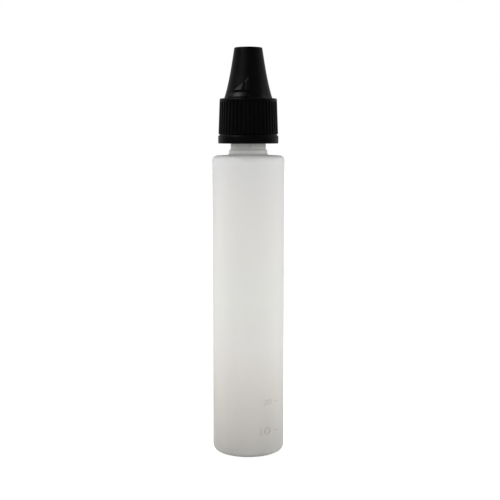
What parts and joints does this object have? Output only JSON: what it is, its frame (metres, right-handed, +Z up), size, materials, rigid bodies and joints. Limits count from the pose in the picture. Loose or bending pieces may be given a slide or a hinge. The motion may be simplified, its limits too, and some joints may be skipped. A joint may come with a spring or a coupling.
{
  "type": "dropper bottle",
  "caption": "Squeezable cylindrical dropper bottle with a pressed-in dropper tip, a push-and-turn cone cap and a tamper band.",
  "frame": {"origin": "centre of the base, on the surface that the bottle stands on", "axes": "+Z up along the axis of the bottle, the neck and the cap; +X to the right of the marked side, +Y away from it"},
  "size_m": [0.028, 0.028, 0.1577],
  "materials": {
    "milky_body": "blow-moulded low-density polyethylene, milky and translucent, satin",
    "milky_tip": "injection-moulded low-density polyethylene, milky and translucent, satin",
    "black_shell": "moulded black polypropylene, satin",
    "black_inner": "moulded black polypropylene, fine matt"
  },
  "bodies": {
    "bottle": {"bottle": "milky_body", "dropper_tip": "milky_tip"},
    "tamper_ring": {"tamper_ring": "black_shell"},
    "inner_cap": {"inner_cap": "black_inner"},
    "outer_cap": {"outer_cap": "black_shell"}
  },
  "joints": [
    {"name": "cap_unscrew", "type": "hinge", "parent": "bottle", "child": "tamper_ring", "pos_m": [0, 0, 0.123], "axis": [0, 0, 1], "range_deg": [0, 3600]},
    {"name": "cap_rise", "type": "slide", "parent": "tamper_ring", "child": "inner_cap", "axis": [0, 0, 1], "range_m": [0, 0.0321]},
    {"name": "push_down", "type": "slide", "parent": "inner_cap", "child": "outer_cap", "axis": [0, 0, 1], "range_m": [-0.0004, 0], "stiffness_N_per_m": 4000, "springref_m": 0.0005}
  ],
  "couplings": [
    {"joint": "cap_rise", "follows": "cap_unscrew", "m_per_rad": 0.0005093}
  ]
}
